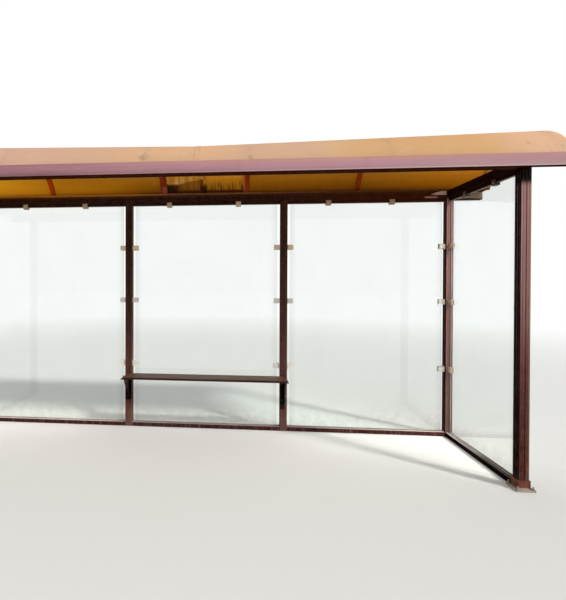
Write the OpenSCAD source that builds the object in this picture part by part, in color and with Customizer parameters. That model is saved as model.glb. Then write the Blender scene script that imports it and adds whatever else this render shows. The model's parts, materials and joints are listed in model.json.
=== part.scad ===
/* [Frame] */
// Distance between the centres of neighbouring back posts
bay_w = 1585; // [1400:5:1800]
// Distance between the centres of the front and back posts
frame_depth = 1050; // [950:10:1200]
// Width of the square posts, beams and sills
post_w = 70; // [60:2:80]
// Height of the underside of the top beams
beam_z = 2310; // [2200:10:2400]
// Height of the low sills under the glass
sill_h = 40; // [34:2:60]
// Width of the main groove down each face of a profile
groove_w = 10; // [6:1:14]
// Depth of the main groove
groove_depth = 4; // [2:0.5:6]

/* [Roof] */
// Rise of the arched sheet above its two long edges
arch_rise = 338; // [300:2:380]
// How far the roof sheets reach past the end posts
roof_overhang = 340; // [250:1:450]
// How far the sheets reach past the end ribs and the gutters
sheet_overhang = 40; // [10:2:60]
// How far the ridge has sagged at the middle of the roof
roof_sag = 50; // [0:2:80]
// Thickness of the translucent sheet
sheet_t = 10; // [8:1:16]
// Width of the two outer ribs
rib_w = 40; // [30:2:50]
// Width of the two inner ribs
inner_rib_w = 60; // [50:2:80]
// Width of the two end ribs
end_rib_w = 70; // [50:2:80]
// Depth of every rib below the sheet
rib_depth = 30; // [20:2:40]
// Distance from the middle of the roof to the inner ribs
inner_rib_x = 415; // [350:5:500]
// Distance from the middle of the roof to the left outer rib
outer_rib_left_x = 1595; // [1400:5:1700]
// Distance from the middle of the roof to the right outer rib
outer_rib_right_x = 1495; // [1400:5:1700]
// Height of the gutter's outer face
gutter_h = 90; // [80:2:110]
// How far the gutter stands out from the beam
gutter_w = 50; // [40:2:70]

/* [Glass] */
// Thickness of the panes
glass_t = 8; // [6:1:10]
// Clear gap between a pane and the posts beside it
glass_gap = 30; // [20:1:40]
// Clear gap between a side pane and the front post
front_gap = 8; // [4:1:20]
// Height and nominal width of a glass clip
clip_h = 50; // [40:2:60]
// Thickness of a glass clip, front to back
clip_t = 36; // [28:2:42]
// Height of the lowest clips on a pane's edge
clip_low_z = 650; // [500:5:700]
// Height of the middle clips
clip_mid_z = 1305; // [1150:5:1400]
// Height of the highest clips
clip_high_z = 1845; // [1700:5:1950]

/* [Bench] */
// Height of the top of the seat board
seat_z = 550; // [440:2:560]
// Depth of the seat board, front to back
seat_depth = 210; // [180:5:300]
// Thickness of the seat board
seat_t = 22; // [18:1:30]
// Height of a seat bracket's back plate
bracket_h = 250; // [160:5:300]

/* [Feet] */
// Width of the square flange under a front post
foot_w = 128; // [124:2:150]
// Height of the rusted sleeve round the foot of a front post
foot_h = 72; // [50:2:100]
// Diameter of the anchor holes
anchor_d = 11; // [9:0.5:13]

/* [Hidden] */

// Finishes, as the object shows them
maroon = [0.27, 0.12, 0.13];
dark_maroon = [0.17, 0.07, 0.08];
mauve = [0.66, 0.46, 0.50];
rust = [0.43, 0.24, 0.17];
board_brown = [0.42, 0.28, 0.27];
cream = [0.90, 0.86, 0.78];
pane_green = [0.62, 0.74, 0.70, 0.35];
sheet_tan = [0.86, 0.62, 0.40, 0.8];

// Places in plan, from the middle of the shelter
end_x = 1.5 * bay_w;
middle_x = bay_w / 2;
row_y = frame_depth / 2;
half_post = post_w / 2;

// Small sizes of the grooved profile
profile_edge_r = 3;
fine_groove_w = 3;
fine_groove_depth = 1.5;
fine_groove_at = 0.3 * post_w;

// Beams and the slim glazing rail under them
beam_top_z = beam_z + post_w;
rail_h = 30;
rail_w = 30;

// Glazing channel in the sills
channel_depth = 10;
channel_clearance = 2;
channel_w = glass_t + 2 * channel_clearance;
pane_bottom_z = sill_h - channel_depth;
pane_top_gap = 6;
pane_top_z = beam_z - rail_h - pane_top_gap;
rear_pane_w = bay_w - post_w - 2 * glass_gap;
side_pane_w = frame_depth - post_w - glass_gap - front_gap;
side_pane_y = (front_gap - glass_gap) / 2;

// Glass clips
clip_grip = 28;
front_clip_grip = 20;
clip_edge_r = 4;
clip_seam_w = 2;
clip_seam_depth = 1.5;
clip_edge_zs = [clip_low_z, clip_mid_z, clip_high_z];
clip_top_drop = 48;
clip_top_t = rail_w + 2 * 6;
side_clip_y = 210;

// Top clips of each back pane, from its middle, which were never set out evenly
rear_clip_xs = [[-330, 320], [-370, 336], [-355, 256]];

// Eaves plate and gutter
eaves_t = 8;
eaves_z = beam_top_z + eaves_t;
gutter_lip = 9;
gutter_top_z = eaves_z + gutter_lip;
gutter_wall = 4;
drip_h = 7;
drip_t = 3;
roof_half_length = end_x + half_post + roof_overhang;
gutter_half_length = roof_half_length - sheet_overhang;

// Circle of the roof arch
arch_half = row_y;
arch_r = (arch_half * arch_half + arch_rise * arch_rise) / (2 * arch_rise);
arch_axis_z = eaves_z + arch_rise - arch_r;
sag_angle = atan(roof_sag / roof_half_length);
rib_r = arch_r - sheet_t;
rib_foot_y = sqrt(pow(rib_r - rib_depth, 2) - pow(eaves_z + roof_sag - arch_axis_z, 2));
eaves_margin = 8;
eaves_inner_y = rib_foot_y - eaves_margin;
strip_web = 4;
strip_w = 30;
strip_t = 3;
strip_clearance = 0.2;

// Bench
seat_end_x = middle_x + half_post - 28;
seat_edge_r = 5;
bracket_w = post_w - 2 * profile_edge_r;
bracket_t = 6;
bracket_reach = seat_depth - 20;
bracket_nose = 20;

// Feet
foot_sleeve_wall = 7;
foot_flange_t = 12;
foot_clearance = 0.3;
anchor_pitch = foot_w - 24;
cut = 1;
round_fn = 96;

// Square section with soft edges and the grooves down its faces
module profile(size) {
    difference() {
        rect_soft(size, size, profile_edge_r);
        for (turn = [0:3])
            rotate(90 * turn)
                face_grooves(size);
    }
}

// Rectangle with rounded corners, about the origin
module rect_soft(w, h, r) {
    square([w, h - 2 * r], center = true);
    square([w - 2 * r, h], center = true);
    for (x = [-1, 1], y = [-1, 1])
        translate([x * (w / 2 - r), y * (h / 2 - r)])
            circle(r = r, $fn = 24);
}

module face_grooves(size) {
    translate([-groove_w / 2, size / 2 - groove_depth])
        square([groove_w, groove_depth + cut]);
    for (x = [-fine_groove_at, fine_groove_at])
        translate([x - fine_groove_w / 2, size / 2 - fine_groove_depth])
            square([fine_groove_w, fine_groove_depth + cut]);
}

module post(x, y, top_z) {
    translate([x, y, 0])
        linear_extrude(top_z)
            profile(post_w);
}

// Profile laid along X, from x0 to x1, with its middle at height z
module bar_x(x0, x1, y, z) {
    translate([x0, y, z])
        rotate([90, 0, 90])
            linear_extrude(x1 - x0)
                profile(post_w);
}

module bar_y(x, y0, y1, z) {
    translate([x, y1, z])
        rotate([90, 0, 0])
            linear_extrude(y1 - y0)
                profile(post_w);
}

module rail_x(x0, x1, y) {
    translate([x0, y - rail_w / 2, beam_z - rail_h])
        cube([x1 - x0, rail_w, rail_h + cut]);
}

// Sill of one bay, with the channel that the pane stands in
module sill(length) {
    difference() {
        translate([-length / 2, -half_post, 0])
            cube([length, post_w, sill_h]);
        translate([-length / 2 - cut, -channel_w / 2, sill_h - channel_depth])
            cube([length + 2 * cut, channel_w, channel_depth + cut]);
    }
}

module pane(width) {
    translate([-width / 2, -glass_t / 2, pane_bottom_z])
        cube([width, glass_t, pane_top_z - pane_bottom_z]);
}

// Clip that reaches from a post's face, at x = 0, across a gap and round the edge of a pane
module edge_clip(gap, grip) {
    arm = gap + grip;
    translate([0, 0, -clip_h / 2])
        linear_extrude(clip_h)
            difference() {
                translate([arm / 2, 0])
                    rect_soft(arm, clip_t, clip_edge_r);
                translate([gap, -glass_t / 2])
                    square([arm, glass_t]);
                for (side = [-1, 1])
                    translate([arm / 2 - clip_seam_w / 2, side * clip_t / 2 - clip_seam_depth])
                        square([clip_seam_w, 2 * clip_seam_depth]);
            }
}

// Clip that hangs from the glazing rail and holds the top edge of a pane
module top_clip() {
    difference() {
        translate([-clip_h / 2, -clip_top_t / 2, beam_z - clip_top_drop])
            cube([clip_h, clip_top_t, clip_top_drop]);
        translate([-clip_h, -rail_w / 2, beam_z - rail_h])
            cube([2 * clip_h, rail_w, rail_h + cut]);
        translate([-clip_h, -glass_t / 2, beam_z - clip_top_drop - cut])
            cube([2 * clip_h, glass_t, pane_top_z - beam_z + clip_top_drop + cut]);
    }
}

// Three clips up one edge of a pane, on the post face at x = post_x
module clip_row(post_x, gap, grip) {
    for (z = clip_edge_zs)
        translate([post_x, 0, z])
            edge_clip(gap, grip);
}

module top_clips(xs) {
    for (x = xs)
        translate([x, 0, 0])
            top_clip();
}

module rear_bay(n) {
    translate([n * bay_w, row_y, 0])
        children();
}

module side_bay(side) {
    translate([side * end_x, 0, 0])
        rotate(90)
            children();
}

// Eaves plate with its open gutter, made for the back and mirrored for the front
module gutter() {
    wall_y = row_y + half_post;
    length = 2 * gutter_half_length;
    bottom_z = gutter_top_z - gutter_h;
    translate([-gutter_half_length, eaves_inner_y, beam_top_z])
        cube([length, wall_y - eaves_inner_y + gutter_wall, eaves_t]);
    translate([-gutter_half_length, wall_y, bottom_z])
        cube([length, gutter_wall, eaves_z - bottom_z]);
    translate([-gutter_half_length, wall_y, bottom_z])
        cube([length, gutter_w, gutter_wall]);
    translate([-gutter_half_length, wall_y + gutter_w - gutter_wall, bottom_z])
        cube([length, gutter_wall, gutter_h]);
    translate([-gutter_half_length, wall_y + gutter_w - gutter_wall, bottom_z])
        cube([length, gutter_wall + drip_t, drip_h]);
    for (x = [-gutter_half_length, gutter_half_length - gutter_wall])
        translate([x, wall_y, bottom_z])
            cube([gutter_wall, gutter_w, gutter_h]);
}

// Part of the arch between x0 and x1 on the right half, where the ridge falls towards the middle
module arch_band(x0, x1, r_out, r_in) {
    half_w = arch_half + post_w;
    intersection() {
        translate([0, 0, arch_axis_z - roof_sag])
            rotate([0, 90 - sag_angle, 0])
                difference() {
                    translate([0, 0, -bay_w])
                        cylinder(h = 2 * roof_half_length, r = r_out, $fn = round_fn);
                    translate([0, 0, -bay_w - cut])
                        cylinder(h = 2 * roof_half_length + 2 * cut, r = r_in, $fn = round_fn);
                }
        translate([x0, -half_w, eaves_z])
            cube([x1 - x0, 2 * half_w, arch_r]);
    }
}

module rib(x, width) {
    arch_band(x - width / 2, x + width / 2, rib_r, rib_r - rib_depth);
}

module seat_bracket() {
    under_seat_z = seat_z - seat_t;
    wall_y = row_y - half_post;
    translate([-bracket_w / 2, wall_y - bracket_t, under_seat_z - bracket_h])
        cube([bracket_w, bracket_t, bracket_h]);
    translate([-bracket_w / 2, wall_y - bracket_reach, under_seat_z - bracket_t])
        cube([bracket_w, bracket_reach, bracket_t]);
    translate([bracket_t / 2, wall_y, under_seat_z])
        rotate([0, -90, 0])
            linear_extrude(bracket_t)
                polygon([
                    [-bracket_t / 2, -bracket_t / 2],
                    [-bracket_t / 2, -bracket_reach + bracket_nose],
                    [-bracket_nose, -bracket_reach + bracket_nose],
                    [-bracket_h + bracket_nose, -bracket_t / 2]
                ]);
}

module foot() {
    difference() {
        union() {
            translate([-foot_w / 2, -foot_w / 2, 0])
                cube([foot_w, foot_w, foot_flange_t]);
            linear_extrude(foot_h)
                rect_soft(post_w + 2 * foot_sleeve_wall, post_w + 2 * foot_sleeve_wall, profile_edge_r);
        }
        translate([0, 0, -cut])
            linear_extrude(foot_h + 2 * cut)
                profile(post_w);
        for (x = [-1, 1], y = [-1, 1])
            translate([x * anchor_pitch / 2, y * anchor_pitch / 2, -cut])
                cylinder(h = foot_flange_t + 2 * cut, d = anchor_d, $fn = 48);
    }
}

module front_post_left() { color(maroon) post(-end_x, -row_y, beam_top_z); }
module front_post_right() { color(maroon) post(end_x, -row_y, beam_top_z); }
module rear_post_left() { color(maroon) post(-end_x, row_y, beam_top_z); }
module rear_post_right() { color(maroon) post(end_x, row_y, beam_top_z); }
module rear_middle_post_left() { color(maroon) post(-middle_x, row_y, beam_z); }
module rear_middle_post_right() { color(maroon) post(middle_x, row_y, beam_z); }
module post_foot_left() { color(rust) translate([-end_x, -row_y, 0]) foot(); }
module post_foot_right() { color(rust) translate([end_x, -row_y, 0]) foot(); }

module front_beam() {
    color(dark_maroon)
        bar_x(-end_x + half_post, end_x - half_post, -row_y, beam_z + half_post);
}

module rear_beam() {
    color(dark_maroon) {
        bar_x(-end_x + half_post, end_x - half_post, row_y, beam_z + half_post);
        for (n = [-1:1])
            rail_x(n * bay_w - bay_w / 2 + half_post, n * bay_w + bay_w / 2 - half_post, row_y);
    }
}

module side_beam(side) {
    half_span = row_y - half_post;
    color(dark_maroon) {
        bar_y(side * end_x, -half_span, half_span, beam_z + half_post);
        translate([side * end_x - rail_w / 2, -half_span, beam_z - rail_h])
            cube([rail_w, 2 * half_span, rail_h + cut]);
    }
}

module side_beam_left() { side_beam(-1); }
module side_beam_right() { side_beam(1); }

module rear_sill(n) { color(maroon) rear_bay(n) sill(bay_w - post_w); }

// Room for the foot of a front post, cut out of the end of a side sill
module foot_room() {
    flange_w = foot_w + 2 * foot_clearance;
    sleeve_w = post_w + 2 * foot_sleeve_wall + 2 * foot_clearance;
    translate([-flange_w / 2, -flange_w / 2, -cut])
        cube([flange_w, flange_w, foot_flange_t + foot_clearance + cut]);
    translate([-sleeve_w / 2, -sleeve_w / 2, -cut])
        cube([sleeve_w, sleeve_w, sill_h + 2 * cut]);
}

module side_sill(side) {
    color(maroon)
        difference() {
            side_bay(side)
                sill(frame_depth - post_w);
            translate([side * end_x, -row_y, 0])
                foot_room();
        }
}

module rear_sill_left() { rear_sill(-1); }
module rear_sill_middle() { rear_sill(0); }
module rear_sill_right() { rear_sill(1); }
module side_sill_left() { side_sill(-1); }
module side_sill_right() { side_sill(1); }

module rear_glass(n) { color(pane_green) rear_bay(n) pane(rear_pane_w); }
module side_glass(side) { color(pane_green) side_bay(side) translate([side_pane_y, 0, 0]) pane(side_pane_w); }
module rear_glass_left() { rear_glass(-1); }
module rear_glass_middle() { rear_glass(0); }
module rear_glass_right() { rear_glass(1); }
module side_glass_left() { side_glass(-1); }
module side_glass_right() { side_glass(1); }

module rear_clips(n) {
    color(cream)
        rear_bay(n) {
            for (side = [0, 1])
                mirror([side, 0, 0])
                    clip_row((post_w - bay_w) / 2, glass_gap, clip_grip);
            top_clips(rear_clip_xs[n + 1]);
        }
}

module side_clips(side) {
    color(cream)
        side_bay(side) {
            clip_row(half_post - row_y, front_gap, front_clip_grip);
            mirror([1, 0, 0])
                clip_row(half_post - row_y, glass_gap, clip_grip);
            top_clips([-side_clip_y, side_clip_y]);
        }
}

module rear_clips_left() { rear_clips(-1); }
module rear_clips_middle() { rear_clips(0); }
module rear_clips_right() { rear_clips(1); }
module side_clips_left() { side_clips(-1); }
module side_clips_right() { side_clips(1); }

module bench_seat() {
    color(board_brown)
        translate([-seat_end_x, row_y - half_post - seat_depth / 2, seat_z - seat_t / 2])
            rotate([90, 0, 90])
                linear_extrude(2 * seat_end_x)
                    rect_soft(seat_depth, seat_t, seat_edge_r);
}

module bench_bracket_left() { color(dark_maroon) translate([-middle_x, 0, 0]) seat_bracket(); }
module bench_bracket_right() { color(dark_maroon) translate([middle_x, 0, 0]) seat_bracket(); }

module front_gutter() { color(mauve) mirror([0, 1, 0]) gutter(); }
module rear_gutter() { color(mauve) gutter(); }

module end_rib() { rib(gutter_half_length - end_rib_w / 2, end_rib_w); }
module end_rib_left() { color(maroon) mirror([1, 0, 0]) end_rib(); }
module end_rib_right() { color(maroon) end_rib(); }
module roof_rib_outer_left() { color(maroon) mirror([1, 0, 0]) rib(outer_rib_left_x, rib_w); }
module roof_rib_outer_right() { color(maroon) rib(outer_rib_right_x, rib_w); }
module roof_rib_inner_left() { color(maroon) mirror([1, 0, 0]) rib(inner_rib_x, inner_rib_w); }
module roof_rib_inner_right() { color(maroon) rib(inner_rib_x, inner_rib_w); }

// Ring of the joint strip, level along X because the strip is narrow
module strip_band(width, r_out, r_in) {
    half_w = arch_half + post_w;
    intersection() {
        translate([-width / 2, 0, arch_axis_z - roof_sag])
            rotate([0, 90, 0])
                difference() {
                    cylinder(h = width, r = r_out, $fn = round_fn);
                    translate([0, 0, -cut])
                        cylinder(h = width + 2 * cut, r = r_in, $fn = round_fn);
                }
        translate([-width, -half_w, eaves_z])
            cube([2 * width, 2 * half_w, arch_r]);
    }
}

module roof_joint_strip() {
    color(dark_maroon) {
        strip_band(strip_w, arch_r + strip_t + strip_clearance, arch_r + strip_clearance);
        strip_band(strip_web, arch_r + strip_t, rib_r - strip_t / 2);
        strip_band(strip_w, rib_r, rib_r - strip_t);
    }
}

module roof_sheet(x0, x1) { arch_band(x0, x1, arch_r, arch_r - sheet_t); }

module roof_sheet_end_left() {
    color(sheet_tan)
        mirror([1, 0, 0])
            roof_sheet(outer_rib_left_x, roof_half_length);
}

module roof_sheet_end_right() {
    color(sheet_tan)
        roof_sheet(outer_rib_right_x, roof_half_length);
}

module roof_sheet_middle_left() {
    color(sheet_tan)
        mirror([1, 0, 0])
            roof_sheet(strip_web / 2, outer_rib_left_x);
}

module roof_sheet_middle_right() {
    color(sheet_tan)
        roof_sheet(strip_web / 2, outer_rib_right_x);
}

front_post_left();
front_post_right();
rear_post_left();
rear_post_right();
rear_middle_post_left();
rear_middle_post_right();
post_foot_left();
post_foot_right();
front_beam();
rear_beam();
side_beam_left();
side_beam_right();
rear_sill_left();
rear_sill_middle();
rear_sill_right();
side_sill_left();
side_sill_right();
rear_glass_left();
rear_glass_middle();
rear_glass_right();
side_glass_left();
side_glass_right();
rear_clips_left();
rear_clips_middle();
rear_clips_right();
side_clips_left();
side_clips_right();
bench_seat();
bench_bracket_left();
bench_bracket_right();
front_gutter();
rear_gutter();
end_rib_left();
end_rib_right();
roof_rib_outer_left();
roof_rib_outer_right();
roof_rib_inner_left();
roof_rib_inner_right();
roof_joint_strip();
roof_sheet_end_left();
roof_sheet_end_right();
roof_sheet_middle_left();
roof_sheet_middle_right();
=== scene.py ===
"""Looks of the bus shelter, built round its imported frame."""

import json
import math

import bmesh
import bpy
from mathutils import Matrix, Vector


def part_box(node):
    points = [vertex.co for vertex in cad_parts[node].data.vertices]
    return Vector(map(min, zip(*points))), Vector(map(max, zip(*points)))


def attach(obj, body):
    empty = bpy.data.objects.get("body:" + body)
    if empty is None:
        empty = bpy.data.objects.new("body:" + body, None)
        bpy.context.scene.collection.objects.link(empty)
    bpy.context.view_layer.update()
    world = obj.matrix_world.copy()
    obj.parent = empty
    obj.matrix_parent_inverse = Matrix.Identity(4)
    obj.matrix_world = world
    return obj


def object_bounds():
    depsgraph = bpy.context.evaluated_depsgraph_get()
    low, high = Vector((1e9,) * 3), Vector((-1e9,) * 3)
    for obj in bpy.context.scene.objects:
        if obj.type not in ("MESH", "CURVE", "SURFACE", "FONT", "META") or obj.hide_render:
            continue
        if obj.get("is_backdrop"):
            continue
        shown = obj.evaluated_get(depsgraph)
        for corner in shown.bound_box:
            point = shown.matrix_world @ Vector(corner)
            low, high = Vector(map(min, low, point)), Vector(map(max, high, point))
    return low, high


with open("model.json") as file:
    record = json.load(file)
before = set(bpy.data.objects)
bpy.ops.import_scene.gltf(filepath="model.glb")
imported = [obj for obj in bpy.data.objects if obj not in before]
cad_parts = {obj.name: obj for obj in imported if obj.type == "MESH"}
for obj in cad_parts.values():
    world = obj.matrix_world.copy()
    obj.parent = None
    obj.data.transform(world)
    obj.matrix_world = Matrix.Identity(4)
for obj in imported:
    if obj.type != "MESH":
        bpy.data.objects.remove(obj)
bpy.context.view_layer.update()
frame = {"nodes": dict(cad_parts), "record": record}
NODES = frame["nodes"]


# Places taken from the frame, in metres
def centre_of(node):
    low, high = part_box(node)
    return (low + high) / 2


def low_of(node):
    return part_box(node)[0]


def high_of(node):
    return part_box(node)[1]


END_X = centre_of("rear_post_right").x
MIDDLE_X = centre_of("rear_middle_post_right").x
ROW_Y = centre_of("rear_post_right").y
FRONT_X = centre_of("front_post_right").x
HALF_POST = (high_of("rear_post_right").x - low_of("rear_post_right").x) / 2
BEAM_TOP = high_of("front_post_left").z
EAVES_Z = low_of("roof_sheet_end_right").z
ROOF_X = high_of("roof_sheet_end_right").x
CROWN_Z = high_of("roof_sheet_end_right").z
ARCH_HALF = high_of("roof_sheet_end_right").y
SILL_Z = high_of("rear_sill_middle").z
SEAT_LOW, SEAT_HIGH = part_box("bench_seat")
BRACKET_LOW = low_of("bench_bracket_right").z
GUTTER_LOW = low_of("front_gutter").z
GUTTER_X = high_of("front_gutter").x
RISE = CROWN_Z - EAVES_Z
ARCH_R = (ARCH_HALF ** 2 + RISE ** 2) / (2 * RISE)
STRIP_TALL = 0.003
SAG = CROWN_Z - high_of("roof_joint_strip").z + STRIP_TALL
AXIS_Z = EAVES_Z + RISE - ARCH_R


def axis_z(x):
    """Height of the roof's arch centre, which falls towards the middle."""
    return AXIS_Z - SAG * (1 - abs(x) / ROOF_X)


def arch_y(x, z):
    """Half the width of the arch at a height."""
    return math.sqrt(ARCH_R ** 2 - (z - axis_z(x)) ** 2)


# Ranges that many finishes share: most of a noise's values, the turn of a face away from looking down or
# to the front, the streaks of the roof, and in metres the end of the light left bay and of the dark
# front part of the side sills
NOISE = (0.3, 0.7)
TURNED = (-0.9, -0.5)
STREAK = (0.36, 0.62)
LEFT_BAY = (-1.1, -0.4)
SILL_FADE = (-0.16, 0.04)


# Tones are written as they look, from 0 to 255
def shade(r, g, b):
    out = []
    for v in (r, g, b):
        v = v / 255
        out.append(v / 12.92 if v <= 0.04045 else ((v + 0.055) / 1.055) ** 2.4)
    return (*out, 1.0)


class Tree:
    """A material's nodes, made by short calls. x, y and z are a place in metres in the frame, and
    nx, ny and nz the parts of the normal."""

    def __init__(self, name):
        self.mat = bpy.data.materials.new(name)
        self.mat.use_nodes = True
        self.nodes = self.mat.node_tree.nodes
        self.links = self.mat.node_tree.links
        self.nodes.clear()
        self.place = self.new("ShaderNodeTexCoord").outputs["Object"]
        self.normal = self.new("ShaderNodeNewGeometry").outputs["Normal"]
        self.x, self.y, self.z = self.parts(self.place)
        self.nx, self.ny, self.nz = self.parts(self.normal)

    def new(self, kind, inputs=(), **settings):
        """A node with these settings. inputs are in their order, or by name or number."""
        node = self.nodes.new(kind)
        for key, value in settings.items():
            setattr(node, key, value)
        for key, value in inputs.items() if isinstance(inputs, dict) else enumerate(inputs):
            self.put(node.inputs[key], value)
        return node

    def put(self, socket, value):
        """Links a socket to another, or gives it a number or a tone."""
        if isinstance(value, bpy.types.NodeSocket):
            self.links.new(value, socket)
        elif socket.type == "RGBA":
            socket.default_value = shade(*value)
        else:
            socket.default_value = value

    def parts(self, vector):
        return self.new("ShaderNodeSeparateXYZ", (vector,)).outputs[:3]

    def maths(self, operation, a, b=0.0, clamp=False):
        return self.new("ShaderNodeMath", (a, b), operation=operation, use_clamp=clamp).outputs[0]

    def add(self, a, b, clamp=False):
        return self.maths("ADD", a, b, clamp)

    def less(self, a, b, clamp=False):
        return self.maths("SUBTRACT", a, b, clamp)

    def size(self, value):
        return self.maths("ABSOLUTE", value)

    def least(self, a, b):
        return self.maths("MINIMUM", a, b)

    def most(self, first, *others):
        for other in others:
            first = self.maths("MAXIMUM", first, other)
        return first

    def times(self, first, *others):
        for other in others:
            first = self.maths("MULTIPLY", first, other)
        return first

    def span(self, value, low, high, to_low=0.0, to_high=1.0):
        """Runs softly from to_low to to_high while the value runs from low to high."""
        inputs = (value, low, high, to_low, to_high)
        return self.new("ShaderNodeMapRange", inputs, interpolation_type="SMOOTHSTEP").outputs[0]

    def rise(self, value, low, high, full=1.0):
        return self.span(value, low, high, 0.0, full)

    def fall(self, value, low, high, full=1.0):
        return self.span(value, low, high, full, 0.0)

    def between(self, value, start, full, fade, end):
        """Rises from start to full, and falls from fade to end."""
        return self.times(self.rise(value, start, full), self.fall(value, fade, end))

    def down(self, full=1.0):
        """Full on faces that look down."""
        return self.fall(self.nz, *TURNED, full)

    def front(self, full=1.0):
        """Full on faces that look to the front."""
        return self.fall(self.ny, *TURNED, full)

    def noise(self, scale, detail=4.0, rough=0.55, vector=None, warp=0.0):
        inputs = {"Scale": scale, "Detail": detail, "Roughness": rough, "Distortion": warp}
        inputs["Vector"] = vector or self.place
        return self.new("ShaderNodeTexNoise", inputs).outputs["Fac"]

    def streaks(self, x, y, z, detail, rough, shift=(0, 0, 0), warp=0.0):
        """Noise drawn out along an axis, by its scale along each."""
        inputs = {"Vector": self.place, "Scale": (x, y, z), "Location": shift}
        return self.noise(1.0, detail, rough, self.new("ShaderNodeMapping", inputs).outputs[0], warp)

    def spots(self, scale):
        inputs = {"Vector": self.place, "Scale": scale}
        return self.new("ShaderNodeTexVoronoi", inputs).outputs["Distance"]

    def blend(self, share, a, b):
        inputs = {0: share, 6: a, 7: b}
        return self.new("ShaderNodeMix", inputs, data_type="RGBA", blend_type="MIX").outputs[2]

    def edge(self, width):
        """How sharp the surface is here, from 0 on a flat face to 1 on an edge."""
        bevel = self.new("ShaderNodeBevel", {"Radius": width}, samples=4).outputs[0]
        dot = self.new("ShaderNodeVectorMath", (bevel, self.normal), operation="DOT_PRODUCT")
        return self.less(1.0, dot.outputs["Value"], clamp=True)

    def bump(self, height, strength, distance):
        inputs = {"Height": height, "Strength": strength, "Distance": distance}
        return self.new("ShaderNodeBump", inputs).outputs[0]

    def surface(self, colour, rough, bump=None, metal=0.0, gloss=0.5, through=0.0, ior=1.5):
        inputs = {"Base Color": colour, "Roughness": rough, "Metallic": metal,
                  "Specular IOR Level": gloss, "Transmission Weight": through, "IOR": ior}
        if bump:
            inputs["Normal"] = bump
        return self.new("ShaderNodeBsdfPrincipled", inputs).outputs[0]

    def both(self, share, a, b):
        return self.new("ShaderNodeMixShader", (share, a, b)).outputs[0]

    def done(self, shader):
        self.new("ShaderNodeOutputMaterial", (shader,))
        return self.mat


def corner_highlight(t, colour):
    """Painted highlight down the right front corner of each front post."""
    start, full = HALF_POST - 0.016, HALF_POST - 0.010
    right = t.rise(t.x, FRONT_X + start, FRONT_X + full)
    left = t.between(t.x, start - FRONT_X, full - FRONT_X, 0.0, 0.1)
    share = t.times(t.most(left, right), t.front(), t.span(t.z, 0.5, 1.6, 0.30, 0.65))
    return t.blend(share, colour, (150, 128, 100))


def bracket_shadow(t, colour):
    """Shadow under the bench bracket, on the front of its post."""
    under = t.between(t.z, BRACKET_LOW - 0.066, BRACKET_LOW - 0.058, BRACKET_LOW + 0.02, BRACKET_LOW + 0.03)
    under = t.times(under, t.fall(t.x, MIDDLE_X + 0.008, MIDDLE_X + 0.014), t.front(0.92))
    return t.blend(under, colour, (18, 8, 6))


def sun_on_beam(t, colour):
    """Front of the rear beam: warm light at the right and along the top, and two patches of sun."""
    x, z = t.x, t.z
    facing = t.times(t.fall(t.ny, -0.9, -0.7), t.rise(t.y, 0.3, 0.4))
    slope = t.less(z, t.times(t.less(x, 2.20), 0.28))
    upper = t.times(t.fall(slope, BEAM_TOP - 0.030, BEAM_TOP - 0.024),
                    t.rise(z, BEAM_TOP - 0.041, BEAM_TOP - 0.035))
    upper = t.times(upper, t.between(x, 2.18, 2.25, 2.336, 2.342))
    lower = t.between(z, BEAM_TOP - 0.071, BEAM_TOP - 0.065, BEAM_TOP - 0.053, BEAM_TOP - 0.047)
    lower = t.times(lower, t.between(x, 2.12, 2.16, 2.24, 2.27))
    colour = t.blend(t.times(facing, t.rise(x, 0.2, 1.7, 0.75)), colour, (70, 32, 12))
    along_top = t.times(facing, t.rise(z, BEAM_TOP - 0.028, BEAM_TOP - 0.006))
    colour = t.blend(t.times(along_top, t.span(x, -1.6, 1.2, 0.8, 0.35)), colour, (104, 50, 8))
    colour = t.blend(t.times(facing, upper, 0.9), colour, (240, 204, 190))
    return t.blend(t.times(facing, lower, 0.8), colour, (176, 146, 130))


def dusty_ledge(t, cloud):
    """Share of dust on faces that look up. It is smaller on the side sills, which grow darker towards their
    front, and in the middle of the rear ones.
    """
    bright = t.less(1.0, t.times(t.rise(t.x, -1.5, -0.5), t.span(t.x, 0.7, 1.6, 0.60, 0.27)))
    ledge = t.times(t.rise(t.nz, 0.35, 0.9), t.span(cloud, 0.25, 0.62, 0.65, 1.0))
    ledge = t.times(ledge, t.span(t.y, -0.45, 0.45, 0.30, 1.0), t.span(t.y, *SILL_FADE, 0.36, 1.0))
    return t.times(ledge, bright, t.span(t.x, END_X - 0.05, END_X - 0.03, 1.0, 0.62))


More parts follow.
